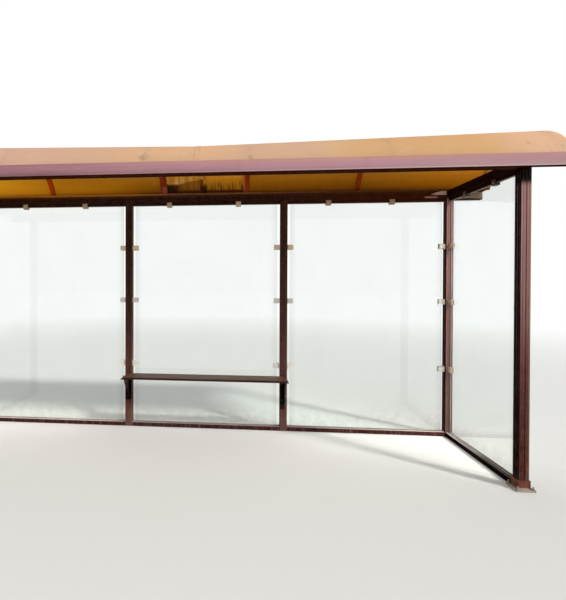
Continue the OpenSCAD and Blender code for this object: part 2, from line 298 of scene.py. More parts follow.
def paint(name, sunlit_tones, shaded_tones, rough, gloss, dust, wear, splash=0.0, streaks=1.0, chalky=0.5,
          dust_tone=(180, 170, 160), corner=False, roof_shade=False, bracket=False, plate=False, beam=False):
    """Old enamel. The tones after the name are pairs, low and high: painted light on the faces that look to
    the front and the right, and painted shade on the others. splash is mud at the foot, and the last five
    add painted light and shade that only some pieces show."""
    t = Tree(name)
    x, y, z = t.x, t.y, t.z
    cloud = t.noise(1.4, 3.0, 0.5)
    up = t.rise(t.add(z, t.span(cloud, *NOISE, -0.12, 0.12)), 0.25, 2.1)
    # Painted light and shade: sunny picks the lit or the shaded copy of each tone, run, chalk and rubbed
    # edge
    sunny = t.rise(t.less(t.times(t.nx, 0.55), t.ny), 0.10, 0.50)
    to_right = (t.nx, 0.5, 0.9)
    colour = t.blend(sunny, t.blend(up, *shaded_tones), t.blend(up, *sunlit_tones))
    chalk = t.blend(t.span(sunny, 0.0, 1.0, 0.03, chalky), colour, (214, 190, 186))
    pale_run = t.rise(t.streaks(70.0, 70.0, 0.9, 3.0, 0.5), 0.50, 0.80, 0.30 * streaks)
    colour = t.blend(t.times(pale_run, t.span(sunny, 0.0, 1.0, 0.2, 1.0)), colour, chalk)
    dark_run = t.rise(t.streaks(85.0, 85.0, 1.1, 3.0, 0.5, (5.0, 2.0, 0.0)), 0.60, 0.84, 0.40 * streaks)
    colour = t.blend(dark_run, colour, t.blend(sunny, (14, 7, 5), (40, 20, 18)))
    # Painted light: a tan cast on the faces that look to the right, above the foot
    colour = t.blend(t.times(t.rise(*to_right, 0.35), t.rise(z, 0.2, 0.8)), colour, (178, 150, 122))
    if corner:
        colour = corner_highlight(t, colour)
    mottle = t.noise(60.0, 5.0, 0.6)
    colour = t.blend(t.rise(mottle, 0.45, 0.80, 0.12), colour, chalk)
    colour = t.blend(t.times(dusty_ledge(t, cloud), dust), colour, dust_tone)
    if roof_shade:
        roofed = t.times(t.rise(z, GUTTER_LOW - 0.135, GUTTER_LOW - 0.085), t.fall(y, -0.1, 0.1))
        colour = t.blend(t.times(roofed, t.span(*to_right, 1.0, 0.55)), colour, (12, 6, 5))
    if bracket:
        colour = bracket_shadow(t, colour)
    if plate:
        # Painted light on a strip at the right of the right bracket's face
        colour = t.blend(t.rise(x, MIDDLE_X + 0.012, MIDDLE_X + 0.016, 0.9), colour, (92, 84, 77))
    if beam:
        colour = t.blend(t.down(), sun_on_beam(t, colour), (50, 19, 7))
        # Painted light: a pale line along the underside of the rail
        rail_under = t.times(t.down(), t.fall(z, BEAM_TOP - 0.099, BEAM_TOP - 0.096))
        colour = t.blend(rail_under, colour, (128, 116, 104))
    if splash:
        mud = t.add(z, t.span(t.noise(7.0, 6.0, 0.7), 0.3, 0.75, 0.06, -0.10))
        colour = t.blend(t.fall(mud, 0.02, 0.20, splash), colour, (128, 100, 88))
    rub = t.times(t.rise(t.edge(0.003), 0.02, 0.25), t.rise(t.noise(12.0, 5.0, 0.6), 0.40, 0.62))
    colour = t.blend(t.times(rub, wear), colour, t.blend(sunny, (74, 46, 42), (190, 150, 136)))
    chip = t.rise(t.noise(38.0, 5.0, 0.5, warp=0.3), 0.73, 0.755)
    colour = t.blend(t.times(chip, wear), colour, (84, 46, 34))
    relief = t.less(t.times(t.noise(380.0, 3.0, 0.6), 0.10), t.times(chip, 0.5))
    relief = t.add(relief, t.times(mottle, 0.2))
    shine = t.span(cloud, *NOISE, rough - 0.06, rough + 0.10)
    shine = t.add(shine, t.fall(sunny, 0.0, 1.0, 0.35), clamp=True)
    return t.done(t.surface(colour, shine, t.bump(relief, 0.25, 0.001), gloss=gloss))


def gutter_paint():
    """Mauve enamel, bleached and smooth outside and painted lighter there for the sun and sky on it, with
    painted shade inside and underneath.
    """
    t = Tree("gutter_paint")
    x, y, z = t.x, t.y, t.z
    side = t.size(y)
    at_post = (2.36, 2.43)
    cloud = t.noise(0.9, 3.0, 0.5)
    along = t.add(x, t.span(cloud, *NOISE, -0.5, 0.5))
    colour = t.blend(t.rise(along, -1.8, 1.8), (159, 110, 121), (180, 137, 142))
    band = t.streaks(3.0, 3.0, 60.0, 4.0, 0.55)
    colour = t.blend(t.rise(band, 0.42, 0.75, 0.24), colour, (204, 166, 158))
    colour = t.blend(t.times(t.between(x, -0.9, 0.2, 1.2, 2.0), 0.4), colour, (186, 138, 154))
    lower = t.blend(t.rise(along, -1.3, 0.7), (112, 82, 88), (160, 125, 128))
    lower = t.blend(t.rise(x, 1.0, 2.3), lower, (174, 147, 147))
    colour = t.blend(t.rise(z, GUTTER_LOW + 0.048, GUTTER_LOW + 0.006, 0.68), colour, lower)
    warm = t.times(t.span(x, -0.9, 0.2, 0.02, 0.40), t.span(x, 1.4, 2.2, 1.0, 0.4))
    warm = t.times(t.rise(z, GUTTER_LOW + 0.052, GUTTER_LOW + 0.072), warm)
    colour = t.blend(warm, colour, (204, 150, 120))
    stain = t.streaks(14.0, 14.0, 3.0, 5.0, 0.6)
    colour = t.blend(t.rise(stain, 0.55, 0.85, 0.22), colour, (150, 100, 108))
    # Painted highlight along the bottom lip, strongest towards the right
    low_lip = t.times(t.fall(z, GUTTER_LOW + 0.006, GUTTER_LOW + 0.013), t.span(x, -0.4, 1.6, 0.05, 0.5))
    colour = t.blend(low_lip, colour, (208, 184, 180))
    # Painted shade on the inner face, up to the posts
    inner = t.times(t.rise(side, 0.565, 0.555), t.fall(t.size(x), *at_post))
    colour = t.blend(t.times(inner, 0.93), colour, (44, 19, 13))
    floor_dirt = t.times(t.rise(t.nz, 0.4, 0.8), t.span(t.noise(11.0, 6.0, 0.7), 0.3, 0.6, 0.4, 0.9))
    colour = t.blend(floor_dirt, colour, (112, 92, 78))
    # The end of the rear gutter, which the photograph shows past the right rear post
    end = t.times(t.rise(x, *at_post), t.rise(y, 0.45, 0.50), t.front())
    # Its front face is painted light, and its foot darker
    colour = t.blend(t.times(end, 0.75), colour, (160, 148, 120))
    end_foot = t.times(end, t.fall(z, GUTTER_LOW + 0.010, GUTTER_LOW + 0.016, 0.85))
    colour = t.blend(end_foot, colour, (62, 54, 30))
    # Painted shade on the faces that look down
    colour = t.blend(t.down(), colour, (60, 22, 6))
    # The rear eaves plate catches the light that comes through the sheet, most of all at the left
    plate = t.times(t.fall(side, 0.500, 0.505), t.rise(y, 0.2, 0.3))
    lit = t.blend(t.rise(x, -0.9, -0.2), (180, 120, 40), (122, 82, 52))
    lit = t.blend(t.rise(x, 0.2, 1.4), lit, (100, 60, 34))
    colour = t.blend(t.times(plate, 0.95), colour, lit)
    rub = t.times(t.rise(t.edge(0.003), 0.02, 0.25), t.rise(t.noise(9.0, 5.0, 0.6), 0.45, 0.62))
    colour = t.blend(t.times(rub, 0.5), colour, (214, 188, 180))
    relief = t.add(t.times(t.noise(380.0, 3.0, 0.6), 0.1), t.times(band, 0.4))
    hidden = t.most(inner, t.down())
    shine = t.add(t.span(cloud, *NOISE, 0.40, 0.52), t.times(hidden, 0.45), clamp=True)
    bump = t.bump(relief, 0.2, 0.001)
    seen_face = t.surface(colour, shine, bump, gloss=0.08)
    hidden_face = t.surface(colour, shine, bump, gloss=0.0)
    return t.done(t.both(hidden, seen_face, hidden_face))


def rib_paint():
    """Red-brown ribs, warmed by the light through the sheet at the left, with painted light and shade low
    down on the left inner rib.
    """
    t = Tree("rib_paint")
    x = t.x
    side, far = t.size(t.y), t.size(x)
    spot = t.noise(14.0, 5.0, 0.6)
    colour = t.blend(t.rise(spot, 0.35, 0.7), (140, 52, 6), (120, 42, 4))
    colour = t.blend(t.fall(x, -1.2, -0.8, 0.9), colour, (176, 68, 2))
    # The left inner rib: painted light in mauve low down on the right of its face, and painted shade on the
    # left
    inner_left = t.between(x, -0.450, -0.444, -0.386, -0.380)
    face_split = (-0.436, -0.430)
    mauve = t.times(inner_left, t.rise(side, 0.405, 0.425), t.rise(x, *face_split))
    colour = t.blend(t.times(mauve, 0.85), colour, (140, 74, 72))
    dark = t.times(inner_left, t.rise(side, 0.38, 0.40), t.fall(x, *face_split))
    colour = t.blend(t.times(dark, 0.8), colour, (104, 26, 6))
    # The right inner rib has a light left edge
    edge = t.times(t.between(x, 0.382, 0.386, 0.396, 0.402), t.span(side, 0.42, 0.45, 1.0, 0.2))
    colour = t.blend(t.times(edge, 0.7), colour, (188, 112, 72))
    # The end ribs are dark low down, with a light rim
    low = t.times(t.rise(far, 2.6, 2.61), t.rise(side, 0.30, 0.36))
    colour = t.blend(t.times(low, 0.9), colour, (84, 40, 18))
    # Painted light on the side faces of the right outer rib
    flank = t.times(t.rise(t.size(t.nx), 0.5, 0.9), t.between(x, 1.3, 1.4, 1.6, 1.7))
    colour = t.blend(t.times(flank, 0.8), colour, (176, 88, 16))
    rim = t.times(low, t.fall(far, ROOF_X - 0.060, ROOF_X - 0.050))
    colour = t.blend(t.times(rim, 0.8), colour, (206, 146, 78))
    bump = t.bump(t.noise(300.0, 3.0, 0.6), 0.15, 0.001)
    return t.done(t.surface(colour, t.span(spot, *NOISE, 0.5, 0.7), bump, gloss=0.04))


def rusty():
    """Rusted sleeve of a front post, pale with cement at its foot."""
    t = Tree("rusted_steel")
    big, fine = t.noise(19.0, 7.0, 0.68), t.noise(150.0, 6.0, 0.7)
    colour = t.blend(t.rise(big, 0.34, 0.66), (58, 34, 28), (126, 76, 56))
    colour = t.blend(t.rise(fine, 0.50, 0.75, 0.7), colour, (176, 112, 72))
    flake = t.rise(t.noise(38.0, 5.0, 0.6, warp=0.6), 0.56, 0.60)
    colour = t.blend(t.times(flake, 0.85), colour, (96, 50, 50))
    cement = t.fall(t.add(t.z, t.span(big, *NOISE, 0.006, -0.006)), 0.012, 0.024, 0.88)
    colour = t.blend(cement, colour, (176, 166, 152))
    relief = t.add(t.times(big, 0.7), t.add(t.times(fine, 0.4), t.times(flake, 0.5)))
    shine = t.span(fine, *NOISE, 0.72, 0.95)
    return t.done(t.surface(colour, shine, t.bump(relief, 0.8, 0.003), gloss=0.2))


# Dirt marks on the front of the roof: x, y, size and share
MARKS = ((-0.42, -0.43, 0.046, 0.5), (0.43, -0.46, 0.022, 0.5), (2.47, -0.43, 0.018, 0.55))


def sheet_above(t, side, cloud, flutes):
    """Sun-bleached tan with painted sky reflection in it, and silt and water marks where the rear slope has
    sagged. Gives the silt too.
    """
    x, y = t.x, t.y
    along = t.add(x, t.span(cloud, *NOISE, -1.2, 1.2))
    top = t.blend(t.rise(along, -1.6, 2.2), (220, 184, 162), (226, 190, 148))
    top = t.blend(t.times(t.rise(x, 0.9, 1.5), t.fall(x, 2.1, 2.4, 0.8)), top, (224, 182, 128))
    top = t.blend(t.rise(x, 2.3, 2.55, 0.8), top, (234, 198, 166))
    top = t.blend(t.times(t.rise(x, -0.9, -0.4, 0.4), t.fall(x, 0.0, 0.6)), top, (240, 196, 144))
    top = t.blend(t.rise(flutes, 0.50, 0.85, 0.22), top, (200, 156, 122))
    top = t.blend(t.rise(t.noise(7.0, 5.0, 0.65), 0.50, 0.80, 0.30), top, (236, 212, 186))
    specks = t.times(t.fall(t.spots(26.0), 0.03, 0.07), t.rise(t.noise(3.1), 0.55, 0.62))
    top = t.blend(t.times(specks, 0.5), top, (150, 112, 88))
    for mark_x, mark_y, size, share in MARKS:
        away = t.add(t.size(t.less(x, mark_x)), t.size(t.less(y, mark_y)))
        ragged = t.rise(t.noise(70.0, 4.0, 0.6), 0.42, 0.58)
        mark = t.times(t.fall(away, size * 0.5, size * 1.6, share), ragged)
        top = t.blend(mark, top, (138, 108, 82))
    low_edge = t.rise(t.add(side, t.span(flutes, *NOISE, -0.02, 0.02)), 0.49, 0.53)
    top = t.blend(t.times(low_edge, 0.35), top, (176, 138, 116))
    middle = t.fall(t.size(t.add(x, 0.03)), 0.10, 0.46)
    silt = t.times(middle, t.rise(t.add(t.noise(5.5, 6.0, 0.65), t.times(side, 0.25)), 0.50, 0.66))
    silt = t.times(silt, t.rise(y, 0.02, 0.16))
    return t.blend(t.times(silt, 0.6), top, (112, 90, 74)), silt


def amber(t, side, cloud, flutes, fine, dull):
    """Amber underside, painted brighter at the left and duller from the middle to the right as the light
    through it falls, with painted shade in streaks towards the eaves.
    """
    x = t.x
    under = t.blend(t.rise(cloud, *NOISE), (224, 154, 16), (208, 140, 12))
    under = t.blend(t.fall(x, -2.4, -1.1, 0.6), under, (250, 178, 16))
    under = t.blend(t.times(dull, 0.40), under, (104, 66, 12))
    along_flutes = t.times(t.rise(flutes, 0.48, 0.80), t.span(x, 0.4, 1.2, 0.22, 0.10))
    under = t.blend(along_flutes, under, (150, 88, 16))
    # Painted shade towards the eaves, less in the left bay
    eaves = t.rise(t.add(side, t.span(fine, *NOISE, -0.03, 0.03)), 0.36, 0.50, 0.75)
    under = t.blend(t.times(eaves, t.span(x, *LEFT_BAY, 0.15, 1.0)), under, (84, 44, 12))
    sunny = t.times(t.rise(side, 0.40, 0.50, 0.36), t.fall(x, -1.3, -0.7))
    under = t.blend(sunny, under, (244, 180, 16))
    # Painted sheen in pale streaks, strongest high up, where the underside is seen at a flat angle
    pale_sheen = t.times(t.rise(fine, 0.52, 0.80), t.span(side, 0.20, 0.36, 0.55, 0.10))
    return t.blend(pale_sheen, under, (222, 164, 84))


def water_marks(t, under, side, fine, streak, inside):
    """Marks between the inner ribs: drips at the right, and at the left a pale wedge over a dark one.
    Gives the underside, the pale wedge and all that is dark."""
    x = t.x
    right = t.times(inside, t.rise(x, 0.0, 0.004))
    under = t.blend(t.times(right, 0.48), under, (255, 178, 40))
    drip = t.streaks(84.0, 3.0, 3.0, 3.0, 0.6, (2.0, 0.0, 0.0))
    reach = t.add(side, t.span(streak, 0.35, 0.65, -0.018, 0.018))
    drips = t.times(right, t.rise(drip, 0.45, 0.57), t.rise(reach, 0.414, 0.446, 0.67))
    under = t.blend(drips, under, (58, 28, 8))
    pale = t.times(right, t.span(streak, 0.36, 0.56, 1.0, 0.2), t.fall(side, 0.385, 0.400, 0.55))
    under = t.blend(pale, under, (250, 192, 110))
    # The line between the wedges is level at the left and slopes with the sheet to the right
    left = t.times(inside, t.fall(x, -0.008, -0.002))
    ragged = t.add(side, t.span(fine, *NOISE, -0.006, 0.006))
    line = t.most(t.less(ragged, 0.429), t.less(t.add(ragged, t.times(x, 0.154)), 0.3865))
    above = t.times(left, t.fall(line, -0.003, 0.001))
    under = t.blend(t.times(above, t.span(streak, *STREAK, 0.75, 0.05)), under, (232, 184, 104))
    pale = t.times(above, t.rise(line, -0.030, -0.012), t.span(x, -0.29, -0.24, 1.0, 0.3))
    under = t.blend(t.times(pale, t.span(streak, 0.40, 0.60, 0.9, 0.1)), under, (255, 206, 150))
    wet = t.times(left, t.rise(line, -0.002, 0.002))
    wet_tone = t.blend(t.rise(streak, 0.38, 0.60), (178, 122, 46), (122, 80, 24))
    under = t.blend(t.times(wet, 0.9), under, wet_tone)
    under = t.blend(t.times(wet, t.fall(line, 0.008, 0.015, 0.9)), under, (158, 80, 6))
    corner = t.fall(t.add(x, t.span(streak, *NOISE, -0.04, 0.04)), -0.35, -0.20)
    soaked = t.times(left, t.rise(line, -0.006, 0.014), corner)
    under = t.blend(t.times(soaked, t.span(fine, 0.4, 0.7, 0.95, 0.72)), under, (38, 18, 7))
    seam = t.times(t.between(x, -0.056, -0.046, 0.0, 0.004), t.rise(side, 0.385, 0.400))
    seam_tone = t.blend(t.rise(side, 0.425, 0.455), (150, 76, 4), (40, 24, 4))
    under = t.blend(t.times(seam, 0.9), under, seam_tone)
    brim = t.rise(t.less(side, t.times(t.size(x), 0.0136)), 0.462, 0.469)
    brim = t.times(brim, inside, 0.9)
    under = t.blend(brim, under, (98, 46, 12))
    dark = t.most(soaked, t.times(wet, 0.35), drips, t.times(seam, 0.8), t.times(brim, 0.7))
    return under, above, dark


def roof_sheet():
    """Translucent sheet: tan and dusty above, the tan partly painted sky reflection, amber where the light
    comes through it below.
    """
    t = Tree("roof_sheet")
    x, side = t.x, t.size(t.y)
    outside = t.rise(t.nz, -0.05, 0.05)
    cloud = t.noise(1.7, 4.0, 0.55)
    flutes = t.streaks(60.0, 1.6, 1.6, 3.0, 0.55)
    fine = t.streaks(120.0, 5.0, 5.0, 4.0, 0.65)
    streak = t.streaks(46.0, 3.0, 3.0, 3.0, 0.6, (9.0, 0.0, 0.0))
    inside = t.between(x, -0.395, -0.375, 0.375, 0.40)
    dull = t.between(x, -2.9, -0.9, 1.4, 2.6)
    top, silt = sheet_above(t, side, cloud, flutes)
    under = amber(t, side, cloud, flutes, fine, dull)
    under, wedge, dark = water_marks(t, under, side, fine, streak, inside)
    under = t.blend(t.rise(x, 1.3, 2.2, 0.16), under, (255, 190, 50))
    # A painted grey sheen, the sky's reflection, lies over the part of the underside that is seen at a flat
    # angle
    upper = t.less(side, t.rise(x, 0.9, 2.5, 0.045))
    sky_sheen = t.times(t.fall(upper, 0.384, 0.416, 0.30), t.span(side, 0.15, 0.36, 0.25, 1.0))
    sky_sheen = t.times(sky_sheen, t.less(1.0, inside))
    under = t.blend(sky_sheen, under, t.blend(t.rise(x, -1.2, 0.2), (148, 123, 96), (74, 76, 74)))
    colour = t.blend(outside, under, top)
    # The cut ends are pale
    colour = t.blend(t.rise(t.size(t.nx), 0.85, 0.95), colour, (238, 206, 164))
    # The light that the sheet lets through, painted brighter at the left, duller in the middle and to the
    # right, and with painted shade towards the eaves
    to_eaves = t.times(t.rise(side, 0.34, 0.50, 0.5), t.span(x, *LEFT_BAY, 0.15, 1.0))
    below = t.blend(to_eaves, (252, 204, 80), (170, 112, 44))
    below = t.blend(t.times(wedge, t.fall(streak, *STREAK, 0.7)), below, (255, 224, 150))
    below = t.blend(t.fall(x, -2.4, -1.1, 0.8), below, (255, 226, 120))
    below = t.blend(t.times(dull, 0.45), below, (150, 118, 60))
    below = t.blend(t.times(dark, 0.9), below, (60, 36, 14))
    glow = t.blend(outside, below, t.blend(silt, (238, 196, 110), (150, 112, 74)))
    relief = t.add(t.times(flutes, 0.25), t.times(fine, 0.12))
    shine, bump = t.span(fine, *NOISE, 0.46, 0.60), t.bump(relief, 0.18, 0.002)
    skin_below = t.surface(colour, shine, bump, gloss=0.06)
    skin_above = t.surface(colour, shine, bump, gloss=0.25)
    skin = t.both(outside, skin_below, skin_above)
    lit = t.new("ShaderNodeBsdfTranslucent", (glow,)).outputs[0]
    return t.done(t.both(t.span(outside, 0.0, 1.0, 0.52, 0.34), skin, lit))


def glass(name, across):
    """Clear pane with green edges and a thin film of dust, thicker beside the posts.
    across is the axis through its thickness."""
    t = Tree(name)
    if across:
        far_x = t.size(t.x)
        to_post = t.least(t.size(t.less(far_x, MIDDLE_X)), t.less(END_X, far_x))
    else:
        to_post = t.less(ROW_Y, t.size(t.y))
    to_edge = t.less(to_post, HALF_POST + 0.02)
    face = t.rise(t.size((t.nx, t.ny)[across]), 0.4, 0.6)
    clear = t.surface((248, 252, 250), 0.0, gloss=0.5, through=1.0, ior=1.46)
    see = t.new("ShaderNodeBsdfTransparent", ((248, 251, 250),)).outputs[0]
    shadow = t.new("ShaderNodeLightPath").outputs["Is Shadow Ray"]
    pane = t.both(shadow, clear, see)
    smear = t.noise(3.1, 5.0, 0.6)
    runs = t.streaks(42.0, 42.0, 1.1, 4.0, 0.6)
    film = t.add(t.span(smear, 0.32, 0.72, 0.006, 0.020), t.rise(runs, 0.58, 0.82, 0.025))
    mud = t.add(t.z, t.span(t.noise(16.0, 6.0, 0.7), 0.3, 0.75, 0.06, -0.10))
    film = t.add(film, t.fall(mud, 0.02, 0.22, 0.07), clamp=True)
    film = t.add(film, t.fall(to_edge, 0.0, 0.09, 0.07), clamp=True)
    specks = t.fall(t.spots(70.0), 0.04, 0.08, 0.25)
    film = t.add(film, t.times(specks, t.rise(smear, 0.52, 0.62)), clamp=True)
    dust = t.blend(t.rise(t.z, 0.1, 1.0), (168, 152, 132), (186, 189, 186))
    pane = t.both(film, pane, t.surface(dust, 0.9, gloss=0.2))
    green = t.blend(t.rise(smear, 0.4, 0.6), (150, 172, 158), (178, 184, 168))
    rim = t.surface(green, 0.3, gloss=0.4, through=0.25)
    return t.done(t.both(face, rim, pane))


def clip_plastic():
    """Aged white clips, with painted shade that makes them warm tan high up, greyer at the corner posts and
    dark under the rail.
    """
    t = Tree("clip_plastic")
    x, z, far_x = t.x, t.z, t.size(t.x)
    under_rail = (2.14, 2.22)
    spot = t.noise(55.0, 6.0, 0.65)
    colour = t.blend(t.rise(spot, 0.35, 0.72), (253, 250, 246), (244, 238, 226))
    grime = t.times(t.rise(t.edge(0.004), 0.03, 0.30), t.rise(t.noise(90.0, 5.0, 0.7), 0.46, 0.66))
    colour = t.blend(t.times(grime, 0.45), colour, (150, 128, 104))
    runs = t.streaks(200.0, 200.0, 9.0, 4.0, 0.6)
    colour = t.blend(t.rise(runs, 0.56, 0.80, 0.30), colour, (190, 170, 142))
    # Painted warm shade on the clips high up, under the roof
    colour = t.blend(t.rise(z, 1.5, 1.75, 0.62), colour, (240, 206, 150))
    # Painted shade: greyer clips at the corner posts, and dull tan side clips
    corner_tone = t.blend(t.rise(z, 0.9, 1.2), (172, 171, 163), (190, 191, 178))
    colour = t.blend(t.times(t.rise(far_x, 2.2, 2.25), 0.85), colour, corner_tone)
    colour = t.blend(t.times(t.rise(far_x, 2.352, 2.358), 0.9), colour, (176, 150, 128))
    # Painted shade under the rail, darker to the right, with painted light just right of the middle
    top_tone = t.blend(t.rise(x, -0.2, 1.7), (158, 136, 116), (116, 104, 78))
    light = t.times(t.rise(x, -0.1, 0.0), t.fall(x, 0.7, 0.9, 0.8))
    top_tone = t.blend(light, top_tone, (196, 174, 152))
    colour = t.blend(t.rise(z, *under_rail, 0.72), colour, top_tone)
    # Painted shade on the side clips under the rail and on faces that look down
    at_side = t.times(t.rise(far_x, 2.2, 2.3), t.rise(z, *under_rail))
    colour = t.blend(t.times(at_side, 0.92), colour, (56, 43, 33))
    colour = t.blend(t.down(0.6), colour, (96, 74, 58))
    relief = t.times(t.noise(300.0, 3.0, 0.6), 0.4)
    shine = t.span(spot, *NOISE, 0.36, 0.52)
    return t.done(t.surface(colour, shine, t.bump(relief, 0.2, 0.0006), gloss=0.4))


def board():
    """Painted board: brown paint gone dull, worn through to the wood along the grain and the edges."""
    t = Tree("bench_board")
    grain = t.streaks(3.2, 120.0, 120.0, 7.0, 0.66, warp=0.4)
    long_grain = t.streaks(1.1, 34.0, 34.0, 5.0, 0.6, (3.0, 0.0, 0.0), 0.6)
    top = t.rise(t.nz, 0.3, 0.8)
    # Painted shade: the faces other than the top are darker
    front = t.blend(t.rise(grain, *NOISE), (50, 28, 22), (62, 38, 30))
    painted = t.blend(t.rise(t.noise(12.0, 5.0, 0.6), 0.35, 0.7), (65, 45, 31), (73, 52, 37))
    colour = t.blend(top, front, painted)
    wood = t.blend(t.rise(grain, 0.35, 0.68), (58, 45, 34), (92, 77, 62))
    worn = t.add(t.times(long_grain, 0.65), t.times(grain, 0.35))
    bare = t.rise(t.add(worn, t.span(top, 0.0, 1.0, -0.12, 0.0)), 0.54, 0.64)
    colour = t.blend(t.times(bare, 0.55), colour, wood)
    ends = t.rise(t.size(t.x), MIDDLE_X - 0.16, MIDDLE_X - 0.03, 0.85)
    colour = t.blend(t.times(ends, top), colour, (96, 68, 55))
    rub = t.times(t.rise(t.edge(0.005), 0.02, 0.3), t.rise(t.noise(14.0, 5.0, 0.6), 0.44, 0.60))
    colour = t.blend(t.times(rub, 0.4), colour, (132, 104, 90))
    crack = t.fall(grain, 0.29, 0.34)
    colour = t.blend(t.times(crack, 0.6), colour, (48, 32, 28))
    relief = t.less(t.times(grain, 0.6), t.add(t.times(crack, 0.5), t.times(bare, 0.25)))
    shine = t.span(bare, 0.0, 1.0, 0.42, 0.7)
    return t.done(t.surface(colour, shine, t.bump(relief, 0.45, 0.0015), gloss=0.06))


def steel():
    """Zinc gone dull, with rust in spots."""
    t = Tree("zinc_steel")
    spot, fine = t.noise(70.0, 5.0, 0.65), t.noise(260.0, 4.0, 0.6)
    rust = t.rise(spot, 0.50, 0.62)
    colour = t.blend(rust, (168, 164, 158), (120, 74, 50))
    shine = t.span(fine, *NOISE, 0.38, 0.6)
    return t.done(t.surface(colour, shine, t.bump(fine, 0.3, 0.0006), t.fall(rust, 0.0, 1.0, 0.85)))


def rubber():
    """Black rubber under dust, darker at the front of the side panes."""
    t = Tree("black_rubber")
    dusty = t.rise(t.noise(40.0, 5.0, 0.65), 0.40, 0.75, 0.55)
    colour = t.blend(dusty, (26, 26, 27), (98, 90, 82))
    up = t.times(t.rise(t.nz, 0.2, 0.7, 0.85), t.span(t.y, *SILL_FADE, 0.30, 1.0))
    colour = t.blend(up, colour, (176, 168, 160))
    shine = t.span(dusty, 0.0, 0.6, 0.55, 0.85)
    return t.done(t.surface(colour, shine, t.bump(t.noise(320.0), 0.2, 0.0005), gloss=0.35))


def strip_paint():
    """Joint strip: bleached tan like the sheet above it; below, painted amber like the light through the
    sheet, and darker towards the eaves.
    """
    t = Tree("joint_strip")
    spot = t.noise(30.0, 5.0, 0.6)
    top = t.blend(t.rise(spot, 0.35, 0.75), (206, 165, 132), (193, 153, 121))
    below = t.blend(t.rise(spot, 0.35, 0.75), (196, 128, 34), (160, 98, 24))
    below = t.blend(t.rise(t.size(t.y), 0.40, 0.45), below, (54, 30, 8))
    colour = t.blend(t.rise(t.nz, 0.15, 0.35), below, top)
    shine = t.span(spot, *NOISE, 0.5, 0.7)
    return t.done(t.surface(colour, shine, t.bump(spot, 0.2, 0.001), gloss=0.05))


def cap_paint(name, light, dark, rim_tone, gloss=0.25):
    """Plastic cap or painted bolt head, dirty round its rim."""
    t = Tree(name)
    spot = t.noise(120.0, 5.0, 0.6)
    colour = t.blend(t.rise(spot, 0.35, 0.7), light, dark)
    colour = t.blend(t.rise(t.edge(0.003), 0.03, 0.3, 0.4), colour, rim_tone)
    shine = t.span(spot, *NOISE, 0.45, 0.65)
    return t.done(t.surface(colour, shine, t.bump(spot, 0.2, 0.0006), gloss=gloss))


FINISHES = {
    "post_paint": paint("post_paint", ((75, 31, 23), (153, 112, 109)), ((20, 9, 7), (16, 9, 6)),
                        rough=0.40, gloss=0.035, dust=0.5, wear=0.5, splash=0.10,
                        corner=True, roof_shade=True),
    "beam_paint": paint("beam_paint", ((44, 20, 13), (44, 20, 13)), ((30, 13, 9), (30, 13, 9)),
                        rough=0.5, gloss=0.03, dust=0.5, wear=0.25, streaks=0.15, beam=True),
    "sill_paint": paint("sill_paint", ((58, 26, 22), (58, 26, 22)), ((16, 8, 7), (16, 8, 7)),
                        rough=0.5, gloss=0.03, dust=0.95, wear=0.3, dust_tone=(222, 206, 200)),
    # The brackets' near-black tones are painted shade, from the bench above them
    "bracket_paint": paint("bracket_paint", ((15, 6, 3), (15, 6, 3)), ((10, 5, 3), (10, 5, 3)),
                           rough=0.5, gloss=0.02, dust=0.3, wear=0.15, streaks=0.2, chalky=0.06, plate=True),
    "rib_paint": rib_paint(),
    "gutter_paint": gutter_paint(),
    "rusted_foot": rusty(),
    "clip": clip_plastic(),
    "bench_board": board(),
    "roof_sheet": roof_sheet(),
    "fastener": steel(),
    "rubber_seal": rubber(),
}
# Painted shade: the roof shades the middle posts and the left rear one, so their paint is painted dark,
# darkest high up
SHADED = paint("post_paint_shaded", ((86, 51, 45), (44, 20, 10)), ((48, 26, 22), (30, 14, 8)),
               rough=0.42, gloss=0.04, dust=0.5, wear=0.3, splash=0.42, streaks=0.4)
# Painted light: the right rear post, which the sun reaches from the side, is painted lighter
REAR_RIGHT = paint("post_paint_rear_right", ((108, 78, 72), (153, 114, 108)), ((16, 7, 5), (14, 7, 5)),
                   rough=0.40, gloss=0.035, dust=0.5, wear=0.4, splash=0.10)
# Painted shade, a little lighter, on the right middle post
HALF_SHADED = paint("post_paint_half_shaded", ((93, 57, 51), (59, 33, 20)), ((48, 26, 22), (30, 14, 8)),
                    rough=0.42, gloss=0.04, dust=0.5, wear=0.3, splash=0.3, streaks=0.4, bracket=True)
ROOF_CAP = cap_paint("roof_cap", (228, 184, 140), (212, 166, 122), (186, 142, 106), 0.08)
CLIP_CAP = cap_paint("clip_cap", (222, 214, 196), (196, 186, 164), (150, 136, 112))
CLIP_PAD = cap_paint("clip_pad", (204, 196, 176), (178, 168, 146), (140, 128, 106))
# Bolt heads painted near black, as painted shade like the brackets
DARK_BOLT = cap_paint("dark_bolt", (30, 18, 15), (46, 28, 22), (70, 40, 30))
REAR_GLASS, SIDE_GLASS = glass("rear_glass", 1), glass("side_glass", 0)

# Nodes that don't simply take the finish of their slot
OWN_FINISH = {
    "rear_middle_post_left": SHADED,
    "rear_post_left": SHADED,
    "rear_middle_post_right": HALF_SHADED,
    "rear_post_right": REAR_RIGHT,
    "roof_joint_strip": strip_paint(),
}
slot_of = {row["node"]: row["material_slot"] for row in frame["record"]["subparts"]}
for name, node in NODES.items():
    if slot_of[name] == "glass":
        material = SIDE_GLASS if name.startswith("side") else REAR_GLASS
    else:
        material = OWN_FINISH.get(name, FINISHES[slot_of[name]])
    for holder in node.material_slots:
        holder.material = material


